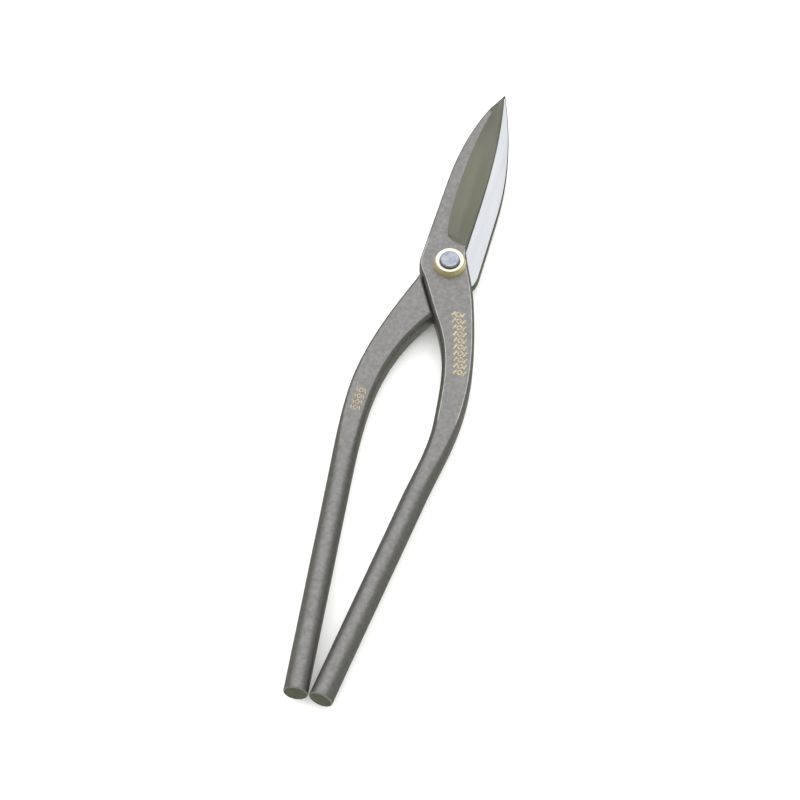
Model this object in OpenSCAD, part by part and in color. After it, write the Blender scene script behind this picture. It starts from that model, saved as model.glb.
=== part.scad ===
// Sheet-metal hand snips: two forged levers that cross at a riveted pivot, each
// with a hard steel cutting face, held by a rivet and two brass washers.
// Frame: millimetres, origin on the pivot axis where the rear rivet end rests,
// +Y towards the tips, +Z along the pivot towards the front face.

/* [Blades] */
// Pivot axis to the tip of the front blade
blade_len = 82.2; // [70:0.1:100]
// Pivot axis to the back of either blade, level with the pivot
spine_x = 11.3; // [10.4:0.1:13.5]
// How far the back is drawn in by the place where it starts to curve
spine_draw = 0.4; // [0:0.05:0.8]
// Where the back of the front blade starts to curve in
front_curve_y = 36; // [25:1:45]
// Where the back of the rear blade starts to curve in
rear_curve_y = 28; // [20:1:40]
// Pivot axis to the heel of the cutting edge
heel_y = 9; // [7:0.5:11]
// How far the belly of a cutting edge reaches past the centre line
edge_belly = 3.8; // [3:0.1:5]
// Pivot axis to the ridge of the ground bevel, at the heel end of the bevel
ridge_x = 4.3; // [3.5:0.1:6]
// Place of the ridge further along, as a share of the way from back to edge
ridge_share = 0.33; // [0.25:0.01:0.42]
// Height of the cutting edge's steep grind above the contact plane
grind_z = 1.05; // [0.6:0.05:1.1]
// Fall of the blade's outer face towards the tip, in degrees
taper_deg = 1.1; // [0.7:0.1:1.4]

/* [Cutting faces] */
// Thickness of the hard steel brazed to each blade
edge_t = 1.2; // [0.8:0.1:1.5]
// Width of the steep grind along the cutting edge
edge_grind_w = 0.35; // [0.2:0.05:0.6]

/* [Levers] */
// Thickness of one lever at the lap
lever_t = 4.4; // [3.7:0.1:5.3]
// Gap left between the lapped faces of the two levers
lap_gap = 0.1; // [0.05:0.01:0.2]
// Angle of the lap border to the long axis, in degrees
lap_deg = 29.5; // [26:0.1:33]
// Air between a blade's back and the shoulder that it swings past
shoulder_gap = 0.45; // [0.25:0.05:0.8]
// Round on the long edges of the levers
lever_round = 1.2; // [0.8:0.1:1.6]
// Round on the back of a blade
spine_round = 0.5; // [0.3:0.1:0.8]
// Full opening; the shoulders are cut back where a blade would meet them sooner
open_deg = 40; // [25:1:40]

/* [Handles] */
// Greatest distance from the centre line to the outside of a handle
bow_x = 21.95; // [20:0.05:25]
// Greatest distance from the centre line to the inside of a handle
bow_in_x = 11.95; // [10:0.05:14]
// How much slimmer the rear lever's shoulder is than the front one's
rear_slim = 1.15; // [0:0.05:1.5]
// How far the inside of the front handle's neck is forged out past the rear one's
front_neck = 1.2; // [0:0.1:1.5]
// Pivot axis to the widest place on the outside of the bow
bow_y = 61; // [52:0.5:70]
// Pivot axis to the widest place on the inside of the bow
bow_in_y = 67; // [60:0.5:75]
// Pivot axis to where the handle becomes a straight round rod
rod_y = 100; // [88:1:115]
// Diameter of the handle rods
rod_d = 9; // [7.5:0.1:10]
// Pivot axis to the end of the handles
handle_len = 186.6; // [155:0.1:223]
// Angle of each rod to the long axis, in degrees
toe_deg = 6.2; // [5.2:0.05:7]
// Gap left between the rod ends when the snips are shut
end_gap = 0.2; // [0.1:0.05:1]
// Bevel on the rod ends
rod_bevel = 0.4; // [0.3:0.1:1]

/* [Pivot] */
// Diameter of the rivet's shaft
rivet_d = 7; // [5.8:0.1:8.4]
// How far the upset end of the rivet spreads past its shaft, each side
rivet_spread = 0.2; // [0.1:0.05:0.4]
// How far each upset end stands above its washer
rivet_proud = 0.9; // [0.6:0.1:1.4]
// Round on the upset ends of the rivet
rivet_round = 0.5; // [0.3:0.05:0.55]
// Diameter of a washer where it bears on its lever
washer_d = 12.2; // [10.2:0.1:14.6]
// Diameter of a washer at its outer face
washer_top_d = 10.7; // [9.2:0.1:12.8]
// Thickness of a washer
washer_h = 2.7; // [2.2:0.1:3.2]
// Radial running clearance of the rivet in the levers
bore_gap = 0.05; // [0.02:0.01:0.1]
// Axial play of the rear lever under its washer
washer_play = 0.05; // [0.02:0.01:0.1]

/* [Hidden] */

$fn = 64;
steel = "#94948f";
hard_steel = "#d6d8e0";
brass = "#d9bc74";
rivet_steel = "#b4bac4";

reach = 300;                       // longer than any piece, for cutters
lap_z = lap_gap / 2;               // inner face of a lever above the contact plane
edge_top = lap_z + edge_t;         // where the hard steel meets the softer blade
rod_r = rod_d / 2;
toe = tan(toe_deg);
end_x = rod_r * cos(toe_deg) + end_gap / 2;
shoulder_d = spine_x + shoulder_gap;
shoulder_round = 0.8;
stop_gap = 0.15;                   // air left at the stop at full opening
taper_fall = tan(taper_deg);
steepest = 0.45;                   // greatest fall of the bevel, near the tip
ridge_turn = 10;                   // how soon the ridge swings in line with the back
// The taper starts past the washer, level with the top of the heel
taper_y = heel_y + 4;

// Heights of the pivot stack above the rest plane
contact_z = rivet_proud + washer_h + washer_play + lever_t;
stack_top = contact_z + lever_t + washer_h + rivet_proud;

// A smooth run of x over y: four even control values from y0 to y1
function run(c, y0, y1, y) =
    let (t = (y - y0) / (y1 - y0), s = 1 - t)
    s * s * s * c[0] + 3 * s * s * t * c[1] + 3 * s * t * t * c[2] + t * t * t * c[3];

// Centre line of the rod, and half its width measured across the snips
function rod_x(y) = end_x + toe * (y + handle_len);
rod_half = rod_r / cos(toe_deg);

// Back of a blade: nearly straight, then curved in to the tip
back_start = [-spine_x + spine_draw, -spine_x + 1.5 * spine_draw];
front_pull = 2.8;                  // how early the front blade's back turns in
rear_pull = 4.7;
front_tip_x = -0.95;
rear_tip_x = 0.4;
front_back = concat(back_start, [-spine_x + front_pull, front_tip_x]);
rear_back = concat(back_start, [-spine_x + rear_pull, rear_tip_x]);
function back_x(y, back, curve_y) =
    y < curve_y ? -spine_x + spine_draw * y / curve_y : run(back, curve_y, blade_len, y);

// Cutting edge, bellied out past the centre line
edge_lead = 0.45;                  // how late the edge turns in to the tip
function edge_x(y, tip_x) =
    run([edge_belly, edge_belly, edge_belly + edge_lead, tip_x], heel_y, blade_len, y);

// From the bow's widest place to the side of the rod, along the rod's slope at its end
function to_rod(x, from_y, side, y, neck = 0) =
    let (x_end = rod_x(-rod_y) + side)
    run([x, x + neck, x_end + toe * (rod_y - from_y) / 3, x_end], -from_y, -rod_y, y);

// Lap border: an arc about the pivot as far as lap_deg, then its tangent. The
// inside of the bow and the rod follow
crotch_y = -spine_x / sin(lap_deg);
bow_in_lead = 0.75;                // how quickly the inside opens past the crotch
neck_share = [0.8, 0.4];           // what the neck adds just past the crotch and at the bow
function inside_x(y, neck) =
    let (wide = bow_in_x + neck_share[1] * neck,
         rise = neck * (bow_in_y + crotch_y) / (rod_y - bow_in_y))
    y > -spine_x * sin(lap_deg) ? -sqrt(spine_x * spine_x - y * y) :
    y > crotch_y ? -(spine_x + y * sin(lap_deg)) / cos(lap_deg) :
    y > -bow_in_y ? run([0, bow_in_lead * bow_in_x + neck_share[0] * neck, wide - rise, wide],
                        crotch_y, -bow_in_y, y) :
    to_rod(wide, bow_in_y, -rod_half, y, neck);

// Heel, shoulder and the outside of the bow, then the rod
heel_end = heel_y - 1;
heel_step = 0.3;                   // how far the heel's side stands back from the edge
heel_slope = 0.45;
heel_x = edge_belly - heel_step + heel_slope;
bow_start = -14;
shoulder_x = 13.1;                 // border where the bow starts
shoulder_bulge = [6.8, -2.3];      // pull of the border between the heel and the bow
bow_bulge = 5.1;                   // pull of the border just past the shoulder
function outside_x(y, slim) =
    let (x = shoulder_x - slim, wide = bow_x - slim / 2)
    y > heel_end ? heel_x - (y - heel_end) * heel_slope :
    y > bow_start ? run([heel_x, shoulder_bulge[0] - slim / 2, x + shoulder_bulge[1], x],
                        heel_end, bow_start, y) :
    y > -bow_y ? run([x, x + bow_bulge, wide, wide], bow_start, -bow_y, y) :
    to_rod(wide, bow_y, rod_half, y);

// How far the flat handle has turned into the round rod, from 0 to 1
function rodness(y) = min(1, max(0, (-y - bow_y - 2) / (rod_y - bow_y - 2)));
function ease(t) = t * t * (3 - 2 * t);
function half_t(y) = lever_t + (rod_r - lever_t) * ease(rodness(y));
function top_z(y) = half_t(y) - max(0, y - taper_y) * taper_fall;

// The ground bevel falls from the ridge to the start of the steep grind at the edge.
// The ridge leaves ridge_x at the heel and soon runs along with the back
function grind_x(y, tip_x) = edge_x(y, tip_x) - edge_grind_w;
function ridge_at(y, back, curve_y) =
    let (along = [for (at = [y, taper_y])
             (1 - ridge_share) * back_x(at, back, curve_y) + ridge_share * edge_x(at, back[3])],
         fade = 1 - max(0, y - taper_y) / (blade_len - taper_y))
    along[0] - (ridge_x + along[1]) * pow(fade, ridge_turn);
function bevel_slope(y, back, curve_y) =
    let (wide = grind_x(y, back[3]) - ridge_at(y, back, curve_y))
    min(steepest, (top_z(y) - grind_z) / max(wide, 0.1));
function bevel_z(x, y, back, curve_y) =
    grind_z + (grind_x(y, back[3]) - x) * bevel_slope(y, back, curve_y);
function bevel_at(z, y, back, curve_y) =
    grind_x(y, back[3]) - (z - grind_z) / bevel_slope(y, back, curve_y);

corner_steps = 4;
// One ring of points around a section, from the left and right x, top and
// bottom z, and the width and height of its rounded corners on each side
function ring(y, xl, xr, zb, zt, rl, rr) = [
    for (q = [0:3], i = [0:corner_steps])
        let (a = 90 * q + 90 * i / corner_steps,
             left = q == 1 || q == 2,
             r = left ? rl : rr,
             cx = left ? xl + r[0] : xr - r[0],
             cz = q < 2 ? zt - r[1] : zb + r[1])
        [cx + r[0] * cos(a), y, cz + r[1] * sin(a)]];

// Section of the lever's blank, before the lap and the bevel are cut
function blank_ring(y, back, curve_y, slim, neck) =
    let (xl = y > 0 ? back_x(y, back, curve_y) : inside_x(y, neck),
         xr = y > heel_y ? max(xl + 0.5, edge_x(y, back[3])) : outside_x(y, slim),
         b = ease(rodness(y)),
         w = (xr - xl) / 2,
         grow = lever_round + (rod_r - lever_round) * b,
         wide = min(w, lever_round + (rod_half - lever_round) * b),
         rl = y > 0 ? [min(spine_round, w / 2), spine_round] : [wide, grow],
         rr = y > heel_y ? [min(0.4, w / 3), 0.4] : [wide, grow])
    ring(y, xl, xr, -half_t(y), top_z(y), rl, rr);

// Section of the round rod, square to its own axis
function rod_ring(along, r) =
    let (cx = end_x + along * sin(toe_deg), cy = -handle_len + along * cos(toe_deg))
    [for (q = [0:3], i = [0:corner_steps])
        let (a = 90 * q + 90 * i / corner_steps)
        [cx + r * cos(a) * cos(toe_deg), cy - r * cos(a) * sin(toe_deg), r * sin(a)]];

// Closed skin over a list of rings that all have the same number of points
module skin(rings) {
    n = len(rings[0]);
    m = len(rings);
    polyhedron(
        points = [for (r = rings) each r],
        faces = concat(
            [[for (j = [0:n - 1]) j]],
            [for (i = [0:m - 2], j = [0:n - 1])
                each let (a = i * n + j, b = i * n + (j + 1) % n)
                    [[a, a + n, b], [b, a + n, b + n]]],
            [[for (j = [n - 1:-1:0]) (m - 1) * n + j]]));
}

// Stations from the tip to the rod: closer where the border turns
blade_stations = [for (i = [0:18]) blade_len - (blade_len - heel_y - 0.1) * i / 18];
lap_stations = [heel_y, heel_y - 0.5, heel_end, 4, 0.1, -1.5, -3, -4.5, -spine_x * sin(lap_deg),
                -9.5, bow_start, -18, crotch_y + 0.02];
bow_stations = [for (i = [1:14]) crotch_y + (-bow_y - crotch_y) * i / 14];
fade_stations = [for (i = [1:12]) -bow_y + (bow_y - rod_y) * i / 12];

module blank(back, curve_y, slim, neck) {
    skin(concat(
        [for (y = concat(blade_stations, lap_stations, bow_stations, fade_stations))
            blank_ring(y, back, curve_y, slim, neck)],
        [rod_ring(handle_len * 0.25, rod_r), rod_ring(rod_bevel, rod_r),
         rod_ring(0, rod_r - rod_bevel)]));
}

// Everything below the lap face on the blade's side of the shoulder
module lap_cut() {
    edge = lever_t - shoulder_round;
    rotate(-lap_deg)
        translate([0, reach / 2, 0])
            rotate([90, 0, 0])
                linear_extrude(reach)
                    polygon([[-reach, lap_z], [shoulder_d, lap_z], [shoulder_d, -edge],
                             [shoulder_d + reach, -edge - reach], [-reach, -edge - reach]]);
}

// The other blade's back lands here at full opening
module stop_cut() {
    rotate(-open_deg)
        translate([-reach + spine_x + stop_gap, -reach / 2, -reach])
            cube([reach, reach, reach + lap_z]);
}

// Seat of the hard steel, from the heel to the tip
module edge_seat() {
    translate([-reach / 2, heel_y, -reach])
        cube([reach, reach, reach + edge_top]);
}

// Everything above the ground bevel. At the heel its border is a curved scoop
scoop_wide = 8;
scoop_deep = 3.6;
over_edge = 2;                     // how far the cutter reaches past edge and ridge
module bevel_cut(back, curve_y) {
    scoop = [for (i = [0:5]) let (a = 18 * i)
        [taper_y - scoop_deep * sin(a), -ridge_x + scoop_wide * (1 - cos(a))]];
    blade = [for (y = blade_stations) if (y > taper_y)
        [y, ridge_at(y, back, curve_y) - over_edge / 2]];
    skin([for (s = concat([[blade_len + 1, back[3] - over_edge]], blade, scoop))
        let (y = min(s[0], blade_len), xr = edge_x(y, back[3]) + over_edge)
        [[s[1], s[0], bevel_z(s[1], y, back, curve_y)],
         [xr, s[0], bevel_z(xr, y, back, curve_y)],
         [xr, s[0], 2 * lever_t], [s[1], s[0], 2 * lever_t]]]);
}

module rivet_bore() {
    translate([0, 0, -reach / 2])
        cylinder(h = reach, d = rivet_d + 2 * bore_gap);
}

// One forged lever about the contact plane, blade on the left, handle on the right
module lever(back, curve_y, slim, neck) {
    difference() {
        blank(back, curve_y, slim, neck);
        lap_cut();
        stop_cut();
        edge_seat();
        bevel_cut(back, curve_y);
        rivet_bore();
    }
}

// Hard steel cutting face: flat inside, ground outside, steep at the edge
function steel_ring(y, back, curve_y) =
    let (xl = back_x(y, back, curve_y),
         xr = max(xl + 0.5, edge_x(y, back[3])),
         grind = min(edge_grind_w, (xr - xl) / 3),
         top_x = max(xl + 0.05, min(xr - grind - 0.05, bevel_at(edge_top, y, back, curve_y))),
         side_z = min(edge_top - 0.05, grind_z))
    [[xr, y, lap_z], [xr - grind, y, side_z], [top_x, y, edge_top],
     [xl, y, edge_top], [xl, y, lap_z]];

module edge_steel(back, curve_y) {
    skin([for (y = concat(blade_stations, [heel_y])) steel_ring(y, back, curve_y)]);
}

// A washer standing on z = 0, wide face down
washer_foot = 0.3;                 // height of the straight side at its wide face
washer_lip = 0.2;                  // bevel on its outer rim
module washer() {
    rotate_extrude()
        polygon([[rivet_d / 2, 0], [washer_d / 2, 0], [washer_d / 2, washer_foot],
                 [washer_top_d / 2 + washer_lip / 2, washer_h - washer_lip],
                 [washer_top_d / 2 - washer_lip / 2, washer_h], [rivet_d / 2, washer_h]]);
}

module front_lever() {
    color(steel)
        translate([0, 0, contact_z])
            lever(front_back, front_curve_y, 0, front_neck);
}

module rear_lever() {
    color(steel)
        translate([0, 0, contact_z])
            rotate([0, 180, 0])
                lever(rear_back, rear_curve_y, rear_slim, 0);
}

module front_edge_steel() {
    color(hard_steel)
        translate([0, 0, contact_z])
            edge_steel(front_back, front_curve_y);
}

module rear_edge_steel() {
    color(hard_steel)
        translate([0, 0, contact_z])
            rotate([0, 180, 0])
                edge_steel(rear_back, rear_curve_y);
}

module pivot_rivet() {
    shaft_r = rivet_d / 2;
    end_r = shaft_r + rivet_spread;
    color(rivet_steel)
        rotate_extrude()
            polygon([[0, 0], [end_r - rivet_round, 0], [end_r, rivet_round],
                     [end_r, rivet_proud], [shaft_r, rivet_proud],
                     [shaft_r, stack_top - rivet_proud], [end_r, stack_top - rivet_proud],
                     [end_r, stack_top - rivet_round], [end_r - rivet_round, stack_top],
                     [0, stack_top]]);
}

module front_washer() {
    color(brass)
        translate([0, 0, contact_z + lever_t])
            washer();
}

module rear_washer() {
    color(brass)
        translate([0, 0, rivet_proud + washer_h])
            mirror([0, 0, 1])
                washer();
}

front_lever();
rear_lever();
front_edge_steel();
rear_edge_steel();
pivot_rivet();
front_washer();
rear_washer();
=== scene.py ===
# %% [markdown]
# # Forged sheet-metal snips
# The CAD model already says where every piece of the snips is and how it swings. This
# lesson gives each piece its real surface: two forged levers, the hard steel faces of
# the blades, a hammered rivet and two turned brass washers. All lengths below are
# worked out in millimetres and turned into metres when a mesh is made.

# %% Load the frame
import bmesh
import bpy
import math
from mathutils import Matrix, Vector, noise


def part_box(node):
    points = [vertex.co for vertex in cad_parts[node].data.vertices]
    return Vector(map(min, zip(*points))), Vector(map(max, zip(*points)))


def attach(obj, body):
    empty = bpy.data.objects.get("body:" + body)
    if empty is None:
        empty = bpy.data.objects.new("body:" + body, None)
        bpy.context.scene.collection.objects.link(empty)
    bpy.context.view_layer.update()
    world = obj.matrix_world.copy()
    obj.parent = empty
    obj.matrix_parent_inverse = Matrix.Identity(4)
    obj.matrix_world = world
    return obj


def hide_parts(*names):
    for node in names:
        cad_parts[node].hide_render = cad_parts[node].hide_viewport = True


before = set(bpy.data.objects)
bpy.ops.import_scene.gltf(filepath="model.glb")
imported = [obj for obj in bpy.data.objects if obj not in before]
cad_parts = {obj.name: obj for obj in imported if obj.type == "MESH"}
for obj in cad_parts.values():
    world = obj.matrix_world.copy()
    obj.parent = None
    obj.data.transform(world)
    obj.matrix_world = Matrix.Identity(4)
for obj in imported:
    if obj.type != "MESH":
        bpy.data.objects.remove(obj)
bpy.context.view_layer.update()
MM = 0.001

# %% [markdown]
# ## The camera
# A catalogue picture of a hand tool is taken with a long lens from well back, so that
# the handles don't shrink with distance. We look from beyond the handle ends, about 58
# degrees above the bench, and roll the camera so that the snips lean a little to the
# right. A camera looks along its own -Z, so its axes are built from two directions.

# %% Place the camera
CAMERA_AT = Vector((213.78, -827.13, 1308.87)) * MM
CAMERA_LOOKS = Vector((-0.14163, 0.50292, -0.85265)).normalized()
CAMERA_UP = Vector((-0.2337, 0.82, 0.52248))
LENS_DEG, CLIP_END = 11, 20

back = -CAMERA_LOOKS
right = CAMERA_UP.cross(back).normalized()
up = back.cross(right)
camera = bpy.data.objects.new("camera", bpy.data.cameras.new("camera"))
camera.data.angle = math.radians(LENS_DEG)
camera.data.clip_end = CLIP_END
turned = Matrix((right, up, back)).transposed().to_4x4()
camera.matrix_world = Matrix.Translation(CAMERA_AT) @ turned
bpy.context.scene.collection.objects.link(camera)
bpy.context.scene.camera = camera
print("camera distance, mm:", round(CAMERA_AT.length / MM))

# %% [markdown]
# ## Sizes read from the frame
# A dressed piece has to sit exactly where its CAD piece sits. So the driving sizes are
# read from the boxes of the CAD nodes, and only the shapes of the curves between them
# are written here. Each lever is drawn in its own frame: blade to the left, handle to
# the right, and z counted from the plane where the two levers slide on each other.

# %% Read the driving sizes
def box_mm(node):
    low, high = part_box(node)
    return low / MM, high / MM


lever_low, lever_high = box_mm("front_lever")
steel_low, steel_high = box_mm("front_edge_steel")
washer_low, washer_high = box_mm("front_washer")
rivet_low, rivet_high = box_mm("pivot_rivet")

CONTACT_Z = (lever_low.z + lever_high.z) / 2
ROD_R = (lever_high.z - lever_low.z) / 2
LEVER_T = washer_low.z - CONTACT_Z
LAP_Z = steel_low.z - CONTACT_Z
EDGE_TOP = steel_high.z - CONTACT_Z
BLADE_LEN = steel_high.y
HEEL_Y = steel_low.y
SPINE_X = -lever_low.x
BOW_X = lever_high.x
print("lever thickness", round(LEVER_T, 2), "blade", round(BLADE_LEN, 1), "rod radius", round(ROD_R, 2))

# %% [markdown]
# ## The outline of a lever
# A smith's curves are fair: they have no flat spots or sudden turns. A cubic curve with
# four evenly spaced control values gives such a line, and it is easy to read: the first
# and last values are its ends, and the middle two pull it to one side. The same
# outline serves both levers. The rear one is a little slimmer at the shoulder.

# %% Outline curves
TOE_DEG = 6.2
ROD_BEVEL = 0.4
END_GAP = 0.2
ROD_Y, BOW_Y, BOW_IN_Y, BOW_IN_X = 100, 61, 67, 11.95
LAP_DEG, SHOULDER_GAP, SHOULDER_X, BOW_START = 29.5, 0.45, 13.1, -14
BOW_IN_LEAD, BOW_BULGE = 0.75, 5.1
NECK_SHARE = (0.8, 0.4)
EDGE_BELLY, EDGE_LEAD = 3.8, 0.45
SPINE_DRAW = 0.4

toe = math.tan(math.radians(TOE_DEG))
toe_sin, toe_cos = math.sin(math.radians(TOE_DEG)), math.cos(math.radians(TOE_DEG))
lap_sin, lap_cos = math.sin(math.radians(LAP_DEG)), math.cos(math.radians(LAP_DEG))
HANDLE_LEN = -lever_low.y - (ROD_R - ROD_BEVEL) * toe_sin
END_X = ROD_R * toe_cos + END_GAP / 2
ROD_HALF = ROD_R / toe_cos
CROTCH_Y = -SPINE_X / lap_sin

HEEL_END, HEEL_SLOPE = HEEL_Y - 1, 0.45
HEEL_X = EDGE_BELLY - 0.3 + HEEL_SLOPE
SHOULDER_BULGE = (6.8, -2.3)
HANDS = {
    "front": {"curve_y": 36, "back": (2.8, -0.95), "slim": 0, "neck": 1.2},
    "rear": {"curve_y": 28, "back": (4.7, 0.4), "slim": 1.15, "neck": 0},
}


def run(values, y0, y1, y):
    t = (y - y0) / (y1 - y0)
    s = 1 - t
    a, b, c, d = values
    return s**3 * a + 3 * s * s * t * b + 3 * s * t * t * c + t**3 * d


def back_x(y, hand):
    curve_y = HANDS[hand]["curve_y"]
    if y < curve_y:
        return -SPINE_X + SPINE_DRAW * y / curve_y
    pull, tip = HANDS[hand]["back"]
    values = (SPINE_DRAW - SPINE_X, 1.5 * SPINE_DRAW - SPINE_X, pull - SPINE_X, tip)
    return run(values, curve_y, BLADE_LEN, y)


def edge_x(y, hand):
    tip = HANDS[hand]["back"][1]
    return run((EDGE_BELLY, EDGE_BELLY, EDGE_BELLY + EDGE_LEAD, tip), HEEL_Y, BLADE_LEN, y)


def to_rod(x, from_y, side, y, neck=0):
    x_end = END_X + toe * (HANDLE_LEN - ROD_Y) + side
    return run((x, x + neck, x_end + toe * (ROD_Y - from_y) / 3, x_end), -from_y, -ROD_Y, y)


def inside_x(y, hand):
    neck = HANDS[hand]["neck"]
    wide = BOW_IN_X + NECK_SHARE[1] * neck
    if y > -SPINE_X * lap_sin:
        return -math.sqrt(SPINE_X**2 - y * y)
    if y > CROTCH_Y:
        return -(SPINE_X + y * lap_sin) / lap_cos
    if y > -BOW_IN_Y:
        rise = neck * (BOW_IN_Y + CROTCH_Y) / (ROD_Y - BOW_IN_Y)
        start = BOW_IN_LEAD * BOW_IN_X + NECK_SHARE[0] * neck
        return run((0, start, wide - rise, wide), CROTCH_Y, -BOW_IN_Y, y)
    return to_rod(wide, BOW_IN_Y, -ROD_HALF, y, neck)


def outside_x(y, hand):
    slim = HANDS[hand]["slim"]
    x, wide = SHOULDER_X - slim, BOW_X - slim / 2
    near_heel, near_bow = SHOULDER_BULGE
    if y > HEEL_END:
        return HEEL_X - (y - HEEL_END) * HEEL_SLOPE
    if y > BOW_START:
        return run((HEEL_X, near_heel - slim / 2, x + near_bow, x), HEEL_END, BOW_START, y)
    if y > -BOW_Y:
        return run((x, x + BOW_BULGE, wide, wide), BOW_START, -BOW_Y, y)
    return to_rod(wide, BOW_Y, ROD_HALF, y)


print("crotch at y", round(CROTCH_Y, 2), "handle length", round(HANDLE_LEN, 1))

# %% [markdown]
# ## The heights of a lever
# Seen from the side, the blade is ground twice. Its outer face falls gently towards the
# tip, and past a ridge a bevel falls more steeply to the cutting edge. Under the blade
# lies the lap face, and a slanted wall, the shoulder, steps down from it to the full
# thickness of the handle. The flat handle slowly turns into a round rod.

# %% Heights and the shoulder wall
RIDGE_X, TAPER_Y = -4.3, HEEL_Y + 4
RIDGE_SHARE, RIDGE_TURN = 0.33, 10
GRIND_W, GRIND_Z, STEEPEST = 0.35, 1.05, 0.45
TAPER_DEG = 1.1
taper_fall = math.tan(math.radians(TAPER_DEG))
SCOOP_WIDE, SCOOP_DEEP = 8, 3.6
PLUNGE_END = TAPER_Y - SCOOP_DEEP


def smooth(t):
    t = min(1, max(0, t))
    return t * t * (3 - 2 * t)


def rodness(y):
    return smooth((-y - BOW_Y - 2) / (ROD_Y - BOW_Y - 2))


def half_t(y):
    return LEVER_T + (ROD_R - LEVER_T) * rodness(y)


def face_z(y):
    return half_t(y) - max(0, y - TAPER_Y) * taper_fall


def grind_x(y, hand):
    return edge_x(y, hand) - GRIND_W


def ridge_at(y, hand):
    """The ridge runs along with the back, but swings in to RIDGE_X at the heel."""
    here, heel = [(1 - RIDGE_SHARE) * back_x(v, hand) + RIDGE_SHARE * edge_x(v, hand)
                  for v in (y, TAPER_Y)]
    fade = 1 - max(0, y - TAPER_Y) / (BLADE_LEN - TAPER_Y)
    return here + (RIDGE_X - heel) * fade**RIDGE_TURN


def bevel_slope(y, hand):
    wide = grind_x(y, hand) - ridge_at(y, hand)
    return min(STEEPEST, (face_z(y) - GRIND_Z) / max(wide, 0.1))


def bevel_z(x, y, hand):
    return GRIND_Z + (grind_x(y, hand) - x) * bevel_slope(y, hand)


def bevel_at(z, y, hand):
    return grind_x(y, hand) - (z - GRIND_Z) / bevel_slope(y, hand)


def wall_x(y):
    return (SPINE_X + SHOULDER_GAP + y * lap_sin) / lap_cos


def meet(f, low, high):
    """The y between low and high at which f crosses zero."""
    for _ in range(40):
        middle = (low + high) / 2
        low, high = (middle, high) if (f(middle) > 0) == (f(low) > 0) else (low, middle)
    return low


# The wall starts where it is START_WIDE in from the outside, and ends END_WIDE from the inside
START_WIDE, END_WIDE = 0.25, 0.5
wall_start = {h: meet(lambda y: outside_x(y, h) - wall_x(y) - START_WIDE, 5, -14) for h in HANDS}
wall_end = meet(lambda y: wall_x(y) - inside_x(y, "rear") - END_WIDE, -18, -28)
print("shoulder wall from y", {h: round(v, 2) for h, v in wall_start.items()}, "to", round(wall_end, 2))

# %% [markdown]
# ## One section of a lever
# A lever is a loft: a stack of sections, all with the same number of points, joined by
# quads. A real forging has no knife-sharp corners. Its corners are dressed with a
# chamfer, and the two lines of the chamfer are themselves slightly soft, which is what
# draws the thin bright lines along a steel tool. So each corner has six points.

# %% Corners and flats
def corner(x, z, in_x, in_z, cut, soft):
    """Six points round a chamfered corner, from the side to the face.
    in_x and in_z are 1 or -1 and point into the steel."""
    a = soft * 0.7071
    return [
        (x, z + in_z * (cut + soft)),
        (x + in_x * 0.18 * soft, z + in_z * (cut + 0.07 * soft)),
        (x + in_x * a, z + in_z * (cut - a)),
        (x + in_x * (cut - a), z + in_z * a),
        (x + in_x * (cut + 0.07 * soft), z + in_z * 0.18 * soft),
        (x + in_x * (cut + soft), z),
    ]


def between(a, b, count):
    """count points evenly spaced between a and b, without a and b."""
    steps = [(i + 1) / (count + 1) for i in range(count)]
    return [(a[0] + (b[0] - a[0]) * t, a[1] + (b[1] - a[1]) * t) for t in steps]


print("points in a corner:", len(corner(0, 0, 1, 1, 1, 0.2)))

# %% [markdown]
# ## The whole section
# Going round a section there are four corners, three points on the top face and seven
# on the bottom. On the blade the three top points are the ridge and the foot of the
# bevel. At the shoulder the seven bottom points are the wall, and before it they wait on
# a narrow ledge beside the place where the wall starts. On the handle they only rest on
# the flats. Past the bow, every point slides towards a circle.

# %% Section rings
INSIDE_CUT, OUTSIDE_CUT, SPINE_CUT, WALL_CUT, LAP_CUT = 1.45, 0.9, 0.5, 0.8, 0.3
TOP_POINTS, BOTTOM_POINTS = 3, 7
SOFT = 0.25
LEDGE = 0.3


def blade_top(y, left, hand):
    """Top of the blade: the corner at the back, the ridge, and the thin corner at the edge."""
    def ground(x):
        return min(face_z(y), bevel_z(x, y, hand))

    right = max(left + 0.16, min(bevel_at(EDGE_TOP + 0.06, y, hand), grind_x(y, hand)))
    cut = min(SPINE_CUT, (right - left) / 4)
    tip_side = corner(left, 0, 1, -1, cut, cut * 0.3)
    back_corner = [(x, z + ground(x)) for x, z in tip_side]
    step = 0
    ridge = max(ridge_at(y, hand), bevel_at(face_z(y), y, hand))
    if y < TAPER_Y:
        reach = min(1, (TAPER_Y - y) / SCOOP_DEEP)
        ridge = RIDGE_X + SCOOP_WIDE * (1 - math.sqrt(1 - reach * reach))
        step = face_z(y) - bevel_z(ridge, y, hand)
    first = back_corner[-1][0] + 0.02
    ridge = max(ridge, first + 0.04)
    foot = min(max(ridge + 0.12 + step * 0.3, first + 0.1), right - 0.03)
    ridge = min(ridge, foot - 0.02)
    upper = face_z(y) if step else ground(ridge)
    before = (min(ridge - 0.02, max(first, ridge - 0.15)), upper)
    middle = [before, (ridge, upper - 0.01 if step else upper - 0.02), (foot, bevel_z(foot, y, hand))]
    edge_z = bevel_z(right, y, hand)
    thin = min(0.012, (edge_z - EDGE_TOP) / 5)
    edge_corner = corner(right, edge_z, -1, -1, thin, thin)[::-1]
    return back_corner, middle, edge_corner, right, thin


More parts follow.
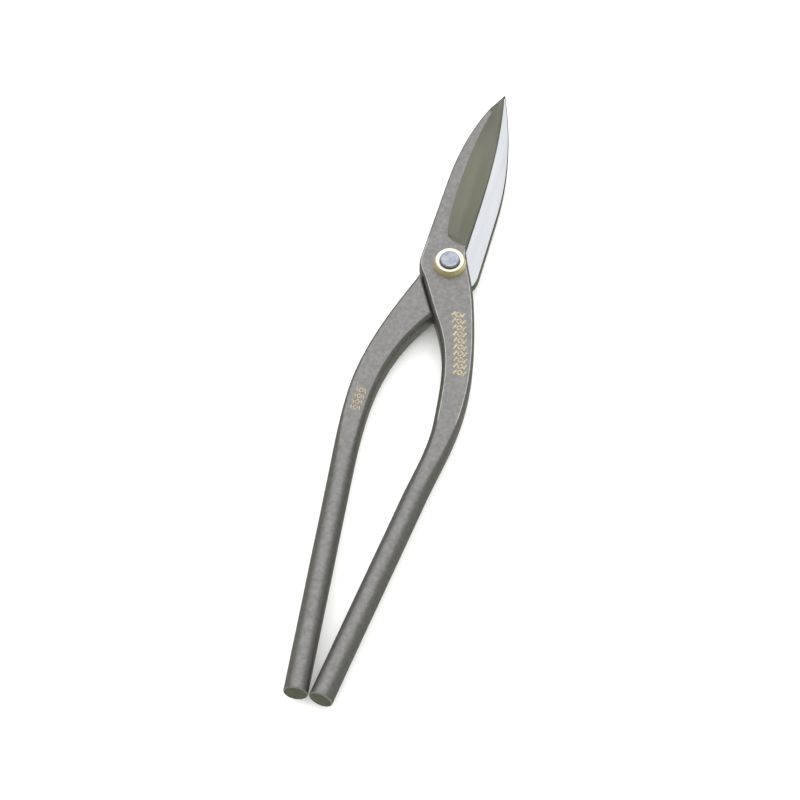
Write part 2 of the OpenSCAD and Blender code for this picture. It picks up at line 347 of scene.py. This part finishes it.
def section(y, hand):
    left = back_x(y, hand) if y > 0 else inside_x(y, hand)
    if y > PLUNGE_END:
        back_corner, middle, edge_corner, right, thin = blade_top(y, left, hand)
        bottom_right = corner(right, EDGE_TOP, -1, 1, thin, thin)
        bottom_left = corner(left, EDGE_TOP, 1, 1, 0.01, 0.01)[::-1]
        flat = between(bottom_right[-1], bottom_left[0], BOTTOM_POINTS)
        return back_corner + middle + edge_corner + bottom_right + flat + bottom_left
    right = edge_x(y, hand) if y > HEEL_Y else outside_x(y, hand)
    top = face_z(y)
    left_cut = SPINE_CUT + (INSIDE_CUT - SPINE_CUT) * smooth(-y / 9)
    right_cut = OUTSIDE_CUT * smooth((PLUNGE_END - y) / 5) + 0.02
    top_left = corner(left, top, 1, -1, left_cut, SOFT)
    top_right = corner(right, top, -1, -1, right_cut, min(SOFT, right_cut / 2))[::-1]
    top_flat = between(top_left[-1], top_right[0], TOP_POINTS)
    if y > wall_start[hand]:
        low = EDGE_TOP if y > HEEL_Y else LAP_Z
        cut = 0.01 if y > HEEL_Y else LAP_CUT
        bottom_right = corner(right, low, -1, 1, 0.02, 0.015)
        bottom_left = corner(left, low, 1, 1, cut, cut * 0.3)[::-1]
        bottom_flat = between(bottom_right[-1], (bottom_right[-1][0] - LEDGE, low), BOTTOM_POINTS)
    elif y > wall_end:
        low, wall = -half_t(y), wall_x(y)
        room = min(1, (right - wall) / (right_cut + WALL_CUT + 0.4))
        bottom_right = corner(right, low, -1, 1, right_cut * room, min(SOFT, right_cut / 2) * room)
        bottom_left = corner(left, LAP_Z, 1, 1, LAP_CUT, LAP_CUT * 0.3)[::-1]
        bottom_flat = corner(wall, low, 1, 1, WALL_CUT * room, SOFT / 2 * room)[::-1] + [(wall, LAP_Z)]
    else:
        low = -half_t(y)
        bottom_right = corner(right, low, -1, 1, right_cut, SOFT)
        bottom_left = corner(left, low, 1, 1, left_cut, SOFT)[::-1]
        bottom_flat = between(bottom_right[-1], bottom_left[0], BOTTOM_POINTS)
    return top_left + top_flat + top_right + bottom_right + bottom_flat + bottom_left


RING_POINTS = len(section(-50, "front"))
# Angle of each point of the ring once it has become a circle: the middles of the four
# corners stand at 135, 45, -45 and -135 degrees
CORNER_MIDDLES = (2.5, 8.5 + TOP_POINTS, 14.5 + TOP_POINTS, 20.5 + TOP_POINTS + BOTTOM_POINTS)


def circle_angle(i):
    knots = [*CORNER_MIDDLES, CORNER_MIDDLES[0] + RING_POINTS]
    i = i if i >= knots[0] else i + RING_POINTS
    k = max(j for j in range(4) if i >= knots[j])
    share = (i - knots[k]) / (knots[k + 1] - knots[k])
    return math.radians(135 - 90 * (k + share))


ANGLES = [circle_angle(i) for i in range(RING_POINTS)]


def handle_ring(y, hand):
    points = section(y, hand)
    if y < -BOW_Y:
        left, right, b = inside_x(y, hand), outside_x(y, hand), rodness(y)
        cx, r = (left + right) / 2, (right - left) / 2
        rounds = [(cx + r * math.cos(a), half_t(y) * math.sin(a)) for a in ANGLES]
        points = [(p[0] + (q[0] - p[0]) * b, p[1] + (q[1] - p[1]) * b) for p, q in zip(points, rounds)]
    return [(x, y, z) for x, z in points]


def rod_ring(along, r):
    """A ring square to the rod's own axis, so many mm from its end."""
    cx, cy = END_X + along * toe_sin, -HANDLE_LEN + along * toe_cos
    return [(cx + r * math.cos(a) * toe_cos, cy - r * math.cos(a) * toe_sin, r * math.sin(a)) for a in ANGLES]


print("points in a ring:", RING_POINTS)

# %% [markdown]
# ## Stations and skin
# Sections are taken close together where the outline turns and further apart along the
# straight rod. Where the shape changes in one step, such as at the heel or where the
# shoulder wall starts, two sections stand a hair apart, and the skin between them is
# the step. bmesh then joins the rings with quads and closes both ends.

# %% Loft a lever
HAIR = 0.1


def spread(start, end, step):
    count = max(1, round(abs(end - start) / step))
    return [start + (end - start) * i / count for i in range(count)]


def lever_stations(hand):
    start = wall_start[hand]
    return (
        spread(BLADE_LEN, BLADE_LEN - 6, 0.5) + spread(BLADE_LEN - 6, TAPER_Y, 1.2)
        + spread(TAPER_Y, PLUNGE_END, 0.3) + [PLUNGE_END + 0.02, PLUNGE_END - HAIR]
        + [HEEL_Y + 0.02, HEEL_Y, HEEL_Y - 0.5] + spread(HEEL_END, start + HAIR, 0.8)
        + [start + HAIR] + spread(start, wall_end, 0.8)
        + [wall_end + 0.001] + spread(wall_end - HAIR, -BOW_Y, 1.2) + spread(-BOW_Y, -ROD_Y, 1.2) + [-ROD_Y]
    )


def lever_rings(hand):
    rings = [handle_ring(y, hand) for y in lever_stations(hand)]
    rod_length = (HANDLE_LEN - ROD_Y) / toe_cos - 1.5
    rings += [rod_ring(d, ROD_R) for d in spread(rod_length, 0.6, 1.8)]
    end = ((0.5, 0), (ROD_BEVEL - 0.02, 0.03), (0.03, ROD_BEVEL - 0.02), (0, 0.5), (0, 0.9), (0, 2.5))
    return rings + [rod_ring(along, ROD_R - inset) for along, inset in end]


def place(point, hand):
    x, y, z = point
    side = 1 if hand == "front" else -1
    return Vector((side * x, y, side * z + CONTACT_Z)) * MM


def skin(name, rings, hand):
    mesh = bpy.data.meshes.new(name)
    bm = bmesh.new()
    rows = [[bm.verts.new(place(p, hand)) for p in ring] for ring in rings]
    n = len(rows[0])
    for a, b in zip(rows, rows[1:]):
        for j in range(n):
            bm.faces.new((a[j], a[(j + 1) % n], b[(j + 1) % n], b[j]))
    bm.faces.new(rows[0][::-1])
    bm.faces.new(rows[-1])
    bmesh.ops.remove_doubles(bm, verts=bm.verts, dist=0.002 * MM)
    bmesh.ops.dissolve_degenerate(bm, edges=bm.edges, dist=0.001 * MM)
    bmesh.ops.recalc_face_normals(bm, faces=bm.faces)
    bm.to_mesh(mesh)
    bm.free()
    obj = bpy.data.objects.new(name, mesh)
    bpy.context.scene.collection.objects.link(obj)
    return obj


levers = {hand: skin(f"{hand}_lever_body", lever_rings(hand), hand) for hand in HANDS}
for lever in levers.values():
    print(lever.name, len(lever.data.polygons), "faces")

# %% [markdown]
# ## Hand work on the handles
# A forged bar is dressed with a hammer and a file, so its long surfaces are never quite
# true. We push the skin in by a few hundredths of a millimetre with two sizes of smooth
# noise. The noise fades out before the joint, where the real levers are ground flat.

# %% Dress the forging
WAVE_DEPTH, WAVE_LENGTH = 0.07, 13
DENT_DEPTH, DENT_LENGTH = 0.03, 3.5


def dress(obj):
    mesh = obj.data
    normals = [v.normal.copy() for v in mesh.vertices]
    deepest = 0
    for v, n in zip(mesh.vertices, normals):
        y = v.co.y / MM
        share = smooth((CROTCH_Y - 4 - y) / 14)
        if share and y > -HANDLE_LEN + 1:
            wave = 0.5 + 0.5 * noise.noise(v.co / (WAVE_LENGTH * MM))
            dent = 0.5 + 0.5 * noise.noise(v.co / (DENT_LENGTH * MM))
            depth = share * (WAVE_DEPTH * wave + DENT_DEPTH * dent)
            deepest = max(deepest, depth)
            v.co -= n * depth * MM
    print(obj.name, "dressed by up to", round(deepest, 3), "mm")


for lever in levers.values():
    dress(lever)

# %% [markdown]
# ## The bore and the edges
# The rivet runs in a drilled hole. A boolean modifier cuts it as a drill would, with a
# cylinder a little wider than the rivet's shaft. The shaft is narrower than the rivet's
# box, because both ends are upset. After that the mesh is shaded smooth, and each edge
# where the surface really turns is marked sharp, so that flats stay flat.

# %% Drill and shade
BORE_GAP = 0.05
UPSET = 0.2
SHAFT_R = (rivet_high.x - rivet_low.x) / 2 - UPSET
SHARP = math.radians(24)


def apply_modifiers(obj):
    seen = bpy.context.evaluated_depsgraph_get()
    obj.data = bpy.data.meshes.new_from_object(obj.evaluated_get(seen))
    obj.modifiers.clear()


def drill(obj, radius):
    bm = bmesh.new()
    bmesh.ops.create_cone(bm, cap_ends=True, segments=72, radius1=radius, radius2=radius, depth=30 * MM)
    bmesh.ops.translate(bm, verts=bm.verts, vec=(0, 0, CONTACT_Z * MM))
    mesh = bpy.data.meshes.new("drill")
    bm.to_mesh(mesh)
    bm.free()
    bit = bpy.data.objects.new("drill", mesh)
    bpy.context.scene.collection.objects.link(bit)
    cut = obj.modifiers.new("bore", "BOOLEAN")
    cut.operation, cut.solver, cut.object = "DIFFERENCE", "EXACT", bit
    apply_modifiers(obj)
    bpy.data.objects.remove(bit)


def shade(obj, angle=SHARP):
    bm = bmesh.new()
    bm.from_mesh(obj.data)
    for face in bm.faces:
        face.smooth = True
    for edge in bm.edges:
        edge.smooth = len(edge.link_faces) == 2 and edge.calc_face_angle(0) < angle
    print(obj.name, sum(not e.smooth for e in bm.edges), "sharp edges of", len(bm.edges))
    bm.to_mesh(obj.data)
    bm.free()


BORE_R = SHAFT_R + BORE_GAP
for lever in levers.values():
    drill(lever, BORE_R * MM)
    shade(lever)

# %% [markdown]
# ## Hard steel faces
# Each blade is soft forged iron with a thin plate of hard steel brazed under it. The
# plate is what cuts. It is flat inside, follows the ground bevel outside, and ends in a
# short steep grind along the edge. Its inner corner at the back is broken with a small
# chamfer. It is a loft too, with seven points in each section.

# %% Loft the hard steel
BACK_BREAK = 0.3


def steel_ring(y, hand):
    left = back_x(y, hand)
    right = max(left + 0.5, edge_x(y, hand))
    grind = min(GRIND_W, (right - left) / 3)
    top_x = max(left + 0.06, min(right - grind - 0.05, bevel_at(EDGE_TOP, y, hand)))
    side_z = min(EDGE_TOP - 0.05, GRIND_Z)
    broken = min(BACK_BREAK, (right - left) / 3)
    outline = [(right, LAP_Z), (right - grind, side_z), (top_x, EDGE_TOP), (left, EDGE_TOP),
               (left, LAP_Z + broken), (left + broken, LAP_Z), ((left + right) / 2, LAP_Z)]
    return [(x, y, z) for x, z in outline]


steels = {}
for hand in HANDS:
    ys = spread(BLADE_LEN, BLADE_LEN - 6, 0.5) + spread(BLADE_LEN - 6, HEEL_Y, 1.2) + [HEEL_Y]
    steels[hand] = skin(f"{hand}_edge_plate", [steel_ring(y, hand) for y in ys], hand)
    shade(steels[hand], math.radians(12))

# %% [markdown]
# ## Turned parts
# Washers come off a lathe, so they are a profile turned round the pivot axis. The
# washer is a low cone with a thin rounded lip, and the lip is what catches the light.
# The rivet starts as a plain shaft, and its ends are upset with a ball hammer over the
# washers. That leaves a shallow dome with a few flat dents, placed here on a spiral.

# %% Turn the washers and the rivet
TURN_STEPS = 96


def turn(name, profile):
    """A closed profile of (radius, z) turned round the pivot axis, z in row millimetres."""
    bm = bmesh.new()
    rows = []
    for r, z in profile:
        if r < 1e-6:
            rows.append([bm.verts.new(Vector((0, 0, z)) * MM)] * TURN_STEPS)
            continue
        angles = [2 * math.pi * i / TURN_STEPS for i in range(TURN_STEPS)]
        rows.append([bm.verts.new(Vector((r * math.cos(a), r * math.sin(a), z)) * MM) for a in angles])
    loops = list(zip(rows, rows[1:]))
    if profile[0][0] > 1e-6:
        loops.append((rows[-1], rows[0]))
    for a, b in loops:
        for i in range(TURN_STEPS):
            j = (i + 1) % TURN_STEPS
            ring = [a[i], a[j], b[j], b[i]]
            bm.faces.new([v for k, v in enumerate(ring) if v not in ring[:k]])
    bmesh.ops.recalc_face_normals(bm, faces=bm.faces)
    mesh = bpy.data.meshes.new(name)
    bm.to_mesh(mesh)
    bm.free()
    obj = bpy.data.objects.new(name, mesh)
    bpy.context.scene.collection.objects.link(obj)
    return obj


def lip(r, z, soft, out):
    """A small rounded lip from the cone (r, z) inwards; out is 1 for a lip that faces up."""
    steps = [math.radians(15 * i) for i in range(7)]
    return [(r - soft + soft * math.cos(a), z + out * (soft * math.sin(a) - soft)) for a in steps]


WASHER_R = (washer_high.x - washer_low.x) / 2
WASHER_TOP_R = 5.35
WASHER_T = washer_high.z - washer_low.z
RIVET_PROUD = rivet_high.z - washer_high.z
REAR_TOP = rivet_low.z + RIVET_PROUD


def washer_profile(foot, top, out):
    base = [(SHAFT_R, foot), (WASHER_R, foot), (WASHER_R, foot + out * 0.3)]
    waist = [(WASHER_TOP_R + 0.05, top - out * 0.4)]
    inner = [(SHAFT_R + 0.85, top), (SHAFT_R + 0.55, top - out * 0.12), (SHAFT_R, top - out * 0.2)]
    return base + waist + lip(WASHER_TOP_R, top, 0.22, out) + inner


washers = {
    "front": turn("front_cone_washer", washer_profile(washer_low.z, washer_high.z, 1)),
    "rear": turn("rear_cone_washer", washer_profile(REAR_TOP + WASHER_T, REAR_TOP, -1)),
}
for washer in washers.values():
    shade(washer)

DOME_RINGS, DOME_FALL = 12, 0.16
DENTS, DENT_R, DENT_FALL = 7, 1.15, 0.1
SPIRAL_TURN, SPIRAL_STEP = 2.4, 0.95


def dome(out, z_end):
    """Rings over a rivet end, from its rim to its middle."""
    rim = SHAFT_R + UPSET
    side = [(rim, z_end - out * 0.62), (rim - 0.04, z_end - out * 0.42), (rim - 0.18, z_end - out * 0.24)]
    rings = [(rim - 0.35) * (1 - i / DOME_RINGS) for i in range(DOME_RINGS + 1)]
    return side + [(r, z_end - out * DOME_FALL * (r / rim) ** 2) for r in rings]


shaft = [(SHAFT_R, washer_high.z), (SHAFT_R, REAR_TOP)]
upper = dome(1, rivet_high.z)[::-1] + [(SHAFT_R + UPSET, washer_high.z)]
lower = [(SHAFT_R + UPSET, REAR_TOP)] + dome(-1, rivet_low.z)
rivet = turn("hammered_rivet", upper + shaft + lower)

for v in rivet.data.vertices:
    out = 1 if v.co.z > CONTACT_Z * MM else -1
    inside_end = abs(v.co.z / MM - (rivet_high.z if out > 0 else rivet_low.z)) < 0.3
    if not inside_end:
        continue
    fall = 0
    for k in range(DENTS):
        turn_by = SPIRAL_TURN * k + 0.5 * out
        spot = Vector((math.cos(turn_by), math.sin(turn_by))) * SPIRAL_STEP * math.sqrt(k)
        away = (Vector((v.co.x, v.co.y)) / MM - spot).length / DENT_R
        fall = max(fall, DENT_FALL * max(0, 1 - away * away))
    v.co.z -= out * fall * MM
shade(rivet)
print("rivet stands proud", round(RIVET_PROUD, 2), "washers", round(2 * WASHER_R, 1), "across")

# %% [markdown]
# ## Gilded marks
# Good snips carry a maker's mark filled with gold paint. A real name doesn't belong on
# a shared part, so ours is only an ornament: a chain of lozenges with a leaf on each
# side. Each stroke is a thin raised bar with bevelled sides, laid on the face of the
# lever along the middle of the handle.

# %% Stamp the ornament
STROKE_THICK = 0.05


def bar(bm, start, end, width):
    """One stroke from start to end on a face, in the lever's own frame seen from outside."""
    a, b = Vector(start), Vector(end)
    along = (b - a).normalized()
    across = Vector((-along.y, along.x))
    feet = [a - across * width / 2, b - across * width / 2, b + across * width / 2, a + across * width / 2]
    middle = (a + b) / 2
    rows = []
    for shrink, z in ((1, -0.04), (1, 0.01), (0.86, STROKE_THICK)):
        spots = [middle + (foot - middle) * shrink for foot in feet]
        rows.append([bm.verts.new(spot.to_3d() + Vector((0, 0, z))) for spot in spots])
    for lower_row, upper_row in zip(rows, rows[1:]):
        for i in range(4):
            j = (i + 1) % 4
            bm.faces.new((lower_row[i], lower_row[j], upper_row[j], upper_row[i]))
    bm.faces.new(rows[-1])
    bm.faces.new(rows[0][::-1])


def ornament(name, hand, y_from, y_to, middle_x, wide, pitch, stroke):
    """A chain of lozenges along the handle, with a leaf on each side of every link.
    middle_x(y) is its centre line."""
    bm = bmesh.new()
    count = int(abs(y_to - y_from) / pitch)
    half, tall, outer = wide * 0.26, pitch * 0.4, wide * 0.5
    for i in range(count):
        y = y_from - pitch * (i + 0.5)
        x = middle_x(y)
        top, low, left, right = (x, y + tall), (x, y - tall), (x - half, y), (x + half, y)
        for a, b in ((top, right), (right, low), (low, left), (left, top)):
            bar(bm, a, b, stroke)
        for way in (1, -1):
            foot, leaf = (x + way * half * 1.25, y - way * tall), (x + way * outer, y + way * tall)
            bar(bm, foot, leaf, stroke * 1.3)
    side = 1 if hand == "front" else -1
    for v in bm.verts:
        v.co = Vector((side * v.co.x, v.co.y, CONTACT_Z + LEVER_T + v.co.z)) * MM
    bmesh.ops.recalc_face_normals(bm, faces=bm.faces)
    mesh = bpy.data.meshes.new(name)
    bm.to_mesh(mesh)
    bm.free()
    obj = bpy.data.objects.new(name, mesh)
    bpy.context.scene.collection.objects.link(obj)
    print(name, count, "steps")
    return obj


MARK_INSET, MARK_LEAN, REAR_MARK_X = 6.2, 0.07, 16.4
marks = {
    "front": ornament("front_gilded_mark", "front", -19.5, -47,
                      lambda y: outside_x(y, "front") - MARK_INSET - MARK_LEAN * (y + 20),
                      4.4, 2.7, 0.55),
    "rear": ornament("rear_gilded_mark", "rear", -61, -73, lambda y: REAR_MARK_X, 3.8, 2.6, 0.34),
}

# %% [markdown]
# ## Metal finishes
# Bare metal has almost no colour of its own: it shows the room, blurred by how rough
# the surface is. So each finish is a Principled shader with full metallic, and the
# character comes from noise that varies the tint, the roughness and a little bump.
# Noise read from object coordinates runs through the piece like grain in the steel.

# %% A metal builder
def add(tree, kind, **values):
    node = tree.nodes.new(kind)
    for key, value in values.items():
        setattr(node, key, value)
    return node


def noise_node(tree, coords, scale, detail=4, rough=0.55):
    node = add(tree, "ShaderNodeTexNoise")
    node.inputs["Scale"].default_value = scale
    node.inputs["Detail"].default_value = detail
    node.inputs["Roughness"].default_value = rough
    tree.links.new(coords, node.inputs["Vector"])
    return node.outputs["Fac"]


def stretched(tree, stretch):
    """Object coordinates, squeezed along an axis to draw streaks the other way."""
    place_node = add(tree, "ShaderNodeTexCoord")
    mapping = add(tree, "ShaderNodeMapping")
    mapping.inputs["Scale"].default_value = stretch
    tree.links.new(place_node.outputs["Object"], mapping.inputs["Vector"])
    return mapping.outputs["Vector"]


def ramp(tree, value, stops):
    node = add(tree, "ShaderNodeValToRGB")
    for element, (at, colour) in zip(node.color_ramp.elements, (stops[0], stops[-1])):
        element.position, element.color = at, (*colour, 1)
    for at, colour in stops[1:-1]:
        node.color_ramp.elements.new(at).color = (*colour, 1)
    tree.links.new(value, node.inputs["Fac"])
    return node.outputs["Color"]


def spread_to(tree, value, low, high):
    node = add(tree, "ShaderNodeMapRange")
    node.inputs["From Min"].default_value, node.inputs["From Max"].default_value = 0.3, 0.7
    node.inputs["To Min"].default_value, node.inputs["To Max"].default_value = low, high
    tree.links.new(value, node.inputs["Value"])
    return node.outputs["Result"]


def metal(name, tints, tint_scale, roughs, rough_scale, bumps, stretch=(1, 1, 1), metallic=1):
    """tints are ramp stops, roughs a low and a high, bumps a list of (scale, depth in mm)."""
    material = bpy.data.materials.new(name)
    material.use_nodes = True
    tree = material.node_tree
    shader = tree.nodes["Principled BSDF"]
    shader.inputs["Metallic"].default_value = metallic
    coords = stretched(tree, stretch)
    tree.links.new(ramp(tree, noise_node(tree, coords, tint_scale), tints), shader.inputs["Base Color"])
    rough = spread_to(tree, noise_node(tree, coords, rough_scale, 3), *roughs)
    tree.links.new(rough, shader.inputs["Roughness"])
    normal = None
    for scale, depth in bumps:
        bump = add(tree, "ShaderNodeBump")
        bump.inputs["Distance"].default_value = depth * MM
        tree.links.new(noise_node(tree, coords, scale), bump.inputs["Height"])
        if normal:
            tree.links.new(normal, bump.inputs["Normal"])
        normal = bump.outputs["Normal"]
    tree.links.new(normal, shader.inputs["Normal"])
    print("finish:", name)
    return material


# %% [markdown]
# ## Finishes of the snips
# The forging is blasted after hardening, which leaves an even, slightly mottled grey.
# The bevel is ground on a stone, so it is smoother, with a fine grain along the blade, and its
# tint is darkened to olive as painted shade for the slope that turns from the light. The lap
# faces and the hard steel are lapped bright. Corners that hands and cloths reach are rubbed
# paler and painted brighter still, as a painted highlight line along face edges and rod end
# rims. The rod ends, dull from the saw, and the dull sides of the rivet are painted dark as
# shade. A washer is brass turned twice: its cone is matt, and its smoother flats are painted a
# pale cream as a highlight. The rivet is planished by the hammer on its ends, and the mark is
# matt gold paint.

# %% Make the finishes
finishes = {
    "forged": metal("blasted_forging", [(0.3, (0.255, 0.249, 0.249)), (0.5, (0.291, 0.284, 0.29)),
                                        (0.72, (0.345, 0.336, 0.352))], 700, (0.4, 0.54), 600,
                    [(3200, 0.035), (1100, 0.03)]),
    # rubbed corners: paler from wear, and brighter still as a painted highlight line along the face edges and
    # rod end rims
    "rubbed_highlight": metal("rubbed_corner_painted_highlight", [(0.35, (0.42, 0.42, 0.41)), (0.65, (0.6, 0.6, 0.59))],
                    500, (0.3, 0.4), 600, [(2600, 0.008)]),
    # painted shade: a dull dark tint for the rod end faces and the rivet's sides, standing in for the shade
    # they lie in
    "painted_shade": metal("dark_painted_shade", [(0.35, (0.24, 0.24, 0.215)), (0.65, (0.3, 0.3, 0.27))],
                  700, (0.5, 0.6), 600, [(3000, 0.02)]),
    # ground bevel: smoother and grained, with a darker olive tint painted in as shade on the slope that turns
    # from the light
    "ground": metal("ground_bevel_painted_shade", [(0.35, (0.165, 0.167, 0.135)), (0.65, (0.21, 0.212, 0.175))],
                    180, (0.34, 0.46), 700, [(1800, 0.006)], (1, 0.15, 1)),
    "lapped": metal("lapped_steel", [(0.3, (0.57, 0.58, 0.63)), (0.7, (0.65, 0.66, 0.71))],
                    220, (0.2, 0.3), 500, [(900, 0.003)], (1, 0.12, 1)),
    "rivet": metal("planished_rivet", [(0.35, (0.32, 0.34, 0.42)), (0.65, (0.5, 0.52, 0.62))],
                   480, (0.24, 0.38), 900, [(1200, 0.01)]),
    "brass": metal("turned_brass", [(0.3, (0.92, 0.74, 0.42)), (0.7, (1, 0.86, 0.56))],
                   380, (0.4, 0.5), 800, [(2500, 0.004)], (1, 1, 4), 0.5),
    # washer flats: smoother brass with a pale cream tint painted in as the highlight of the panel they mirror
    "brass_flat_painted_highlight": metal("brass_flat_painted_highlight", [(0.3, (0.9, 0.86, 0.74)), (0.7, (0.95, 0.93, 0.85))],
                          380, (0.2, 0.3), 800, [(2500, 0.003)]),
    "gold": metal("gold_paint", [(0.4, (0.5, 0.4, 0.28)), (0.6, (0.9, 0.76, 0.56))],
                  1500, (0.4, 0.55), 900, [(3000, 0.01)], metallic=0.6),
}

# %% [markdown]
# ## Which finish goes where
# A lever carries five finishes on one forging, so its mesh has five material slots and
# each face picks one. The grinder reaches only the bevel, whose darker tint is painted shade,
# the lapping plate only the flat inner face, and the saw only the rod's end, whose flat face is
# painted dark as shade. Hands rub the soft corners of the handle and the rim of the rod end
# paler, and these are painted brighter as a highlight line. The rest stays blasted.

# %% Paint the levers
ON_SURFACE = 0.05
# normal band of the soft corner faces that get the rubbed wear and the painted highlight
RUBBED_HIGHLIGHT_FROM, RUBBED_HIGHLIGHT_TO = 0.75, 0.985


def finish_lever(obj, hand):
    kinds = ("forged", "ground", "lapped", "rubbed_highlight", "painted_shade")
    for kind in kinds:
        obj.data.materials.append(finishes[kind])
    side = 1 if hand == "front" else -1
    counts = [0] * len(kinds)
    for face in obj.data.polygons:
        n = Vector((side * face.normal.x, face.normal.y, side * face.normal.z))
        z = side * (face.center.z / MM - CONTACT_Z)
        y = face.center.y / MM
        above = z - bevel_z(side * face.center.x / MM, y, hand)
        at_end = y < 1 - HANDLE_LEN
        on_flats = -BOW_Y - 6 < y < PLUNGE_END and z > LEVER_T - 0.3
        pick = "forged"
        # bevel faces take the ground finish, whose darker tint is painted shade
        if y > PLUNGE_END - HAIR and abs(above) < ON_SURFACE and 0.1 < n.x < 0.6:
            pick = "ground"
        elif n.z < -0.99 and abs(z - LAP_Z) < ON_SURFACE:
            pick = "lapped"
        # soft corners beside the flats: rubbed wear plus a painted highlight line
        elif on_flats and RUBBED_HIGHLIGHT_FROM < n.z < RUBBED_HIGHLIGHT_TO:
            pick = "rubbed_highlight"
        # flat rod end faces get the dark painted shade
        elif n.y < -0.9 and at_end:
            pick = "painted_shade"
        # bevelled rim of the rod end: rubbed wear plus a painted highlight
        elif n.y < -0.3 and at_end:
            pick = "rubbed_highlight"
        face.material_index = kinds.index(pick)
        counts[kinds.index(pick)] += 1
    print(obj.name, dict(zip(kinds, counts)))


for hand, lever in levers.items():
    finish_lever(lever, hand)


def finish_steel(obj, hand):
    obj.data.materials.append(finishes["lapped"])
    obj.data.materials.append(finishes["ground"])
    side = 1 if hand == "front" else -1
    for face in obj.data.polygons:
        # outer and side faces of the plate take the ground finish with its painted shade, the flat inner face
        # the lapped one
        face.material_index = 1 if side * face.normal.z > 0.05 or abs(face.normal.z) < 0.8 else 0


for hand in HANDS:
    finish_steel(steels[hand], hand)
    washers[hand].data.materials.append(finishes["brass"])
    washers[hand].data.materials.append(finishes["brass_flat_painted_highlight"])
    # flat faces take the pale painted highlight, the cone the matt brass
    for face in washers[hand].data.polygons:
        face.material_index = 1 if abs(face.normal.z) > 0.6 else 0
    marks[hand].data.materials.append(finishes["gold"])
rivet.data.materials.append(finishes["rivet"])
# the rivet's sides get the dark painted shade, its ends the planished finish
rivet.data.materials.append(finishes["painted_shade"])
for face in rivet.data.polygons:
    face.material_index = 1 if abs(face.normal.z) < 0.5 else 0

# %% [markdown]
# ## Hand the pieces to the frame
# Each dressed piece takes the place of one CAD node and rides on the body that node
# belongs to, and the table also lists the material slot it stands for. The marks replace
# nothing: they are paint on the levers, so they only ride.

# %% Ride and replace
dressed = [
    (levers["front"], "front", "front_lever", "forged_steel"),
    (steels["front"], "front", "front_edge_steel", "hard_steel"),
    (rivet, "front", "pivot_rivet", "rivet_steel"),
    (washers["front"], "front", "front_washer", "brass"),
    (washers["rear"], "front", "rear_washer", "brass"),
    (levers["rear"], "rear", "rear_lever", "forged_steel"),
    (steels["rear"], "rear", "rear_edge_steel", "hard_steel"),
]
for piece, body, node, slot in dressed:
    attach(piece, body)
    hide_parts(node)
for hand, mark in marks.items():
    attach(mark, hand)
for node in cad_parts.values():
    node.data.materials.clear()
    node.data.materials.append(finishes["forged"])
print(len(dressed), "pieces replace", len(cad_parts), "CAD nodes")

# %% [markdown]
# ## Floor and light
# The snips lie on a plain pale floor under one large soft panel, placed where flat
# faces mirror it towards the camera. The panel is linked to the snips alone. Faces that
# lean away mirror the dimmer room, so chamfers and side walls turn dark and the shape
# reads. A white floor would fill those dark mirrors, so it is hidden from reflections.
# It has a light of its own, linked to it alone, and stays white however dim the room is.

# %% Light the bench
def soft_light(name, direction, distance, size, watts, colour):
    data = bpy.data.lights.new(name, "AREA")
    data.shape, data.size, data.energy, data.color = "DISK", size, watts, colour
    lamp = bpy.data.objects.new(name, data)
    lamp.visible_camera = False
    bpy.context.scene.collection.objects.link(lamp)
    aim = Vector(direction).normalized()
    lamp.location = aim * distance
    lamp.rotation_euler = aim.to_track_quat("Z", "Y").to_euler()
    return lamp


FLOOR_HALF, FLOOR_DROP = 3, 0.2
floor_mesh = bpy.data.meshes.new("floor")
signs = ((-1, -1), (1, -1), (1, 1), (-1, 1))
corners = [(x * FLOOR_HALF, y * FLOOR_HALF, -FLOOR_DROP * MM) for x, y in signs]
floor_mesh.from_pydata(corners, [], [(0, 1, 2, 3)])
floor = bpy.data.objects.new("floor", floor_mesh)
floor.visible_glossy = False
bpy.context.scene.collection.objects.link(floor)
paper = bpy.data.materials.new("white_paper")
paper.use_nodes = True
paper_inputs = paper.node_tree.nodes["Principled BSDF"].inputs
paper_inputs["Base Color"].default_value = (0.95, 0.95, 0.95, 1)
paper_inputs["Roughness"].default_value = 0.9
floor_mesh.materials.append(paper)


def light_only(light, name, objects):
    """Link a light to these objects, so that it leaves everything else dark."""
    group = bpy.data.collections.new(name)
    for obj in objects:
        group.objects.link(obj)
    light.light_linking.receiver_collection = group


PANEL_FROM, PANEL_AWAY, PANEL_WIDE, PANEL_WATTS = (-0.15, 0.5, 0.85), 1.3, 2.6, 14.8
SUN_STRENGTH, SUN_DEG = 4.8, 120
panel = soft_light("sky_panel", PANEL_FROM, PANEL_AWAY, PANEL_WIDE, PANEL_WATTS, (0.98, 0.98, 1))
light_only(panel, "snips_only", [piece for piece, *_ in dressed] + list(marks.values()))
table_light = bpy.data.objects.new("table_light", bpy.data.lights.new("table_light", "SUN"))
table_light.data.energy, table_light.data.angle = SUN_STRENGTH, math.radians(SUN_DEG)
bpy.context.scene.collection.objects.link(table_light)
light_only(table_light, "table_only", [floor])
room = bpy.data.worlds.new("room")
room.use_nodes = True
room_inputs = room.node_tree.nodes["Background"].inputs
room_inputs["Color"].default_value = (0.97, 1, 0.84, 1)
room_inputs["Strength"].default_value = 0.42
bpy.context.scene.world = room
bpy.context.scene.view_settings.view_transform = "Standard"
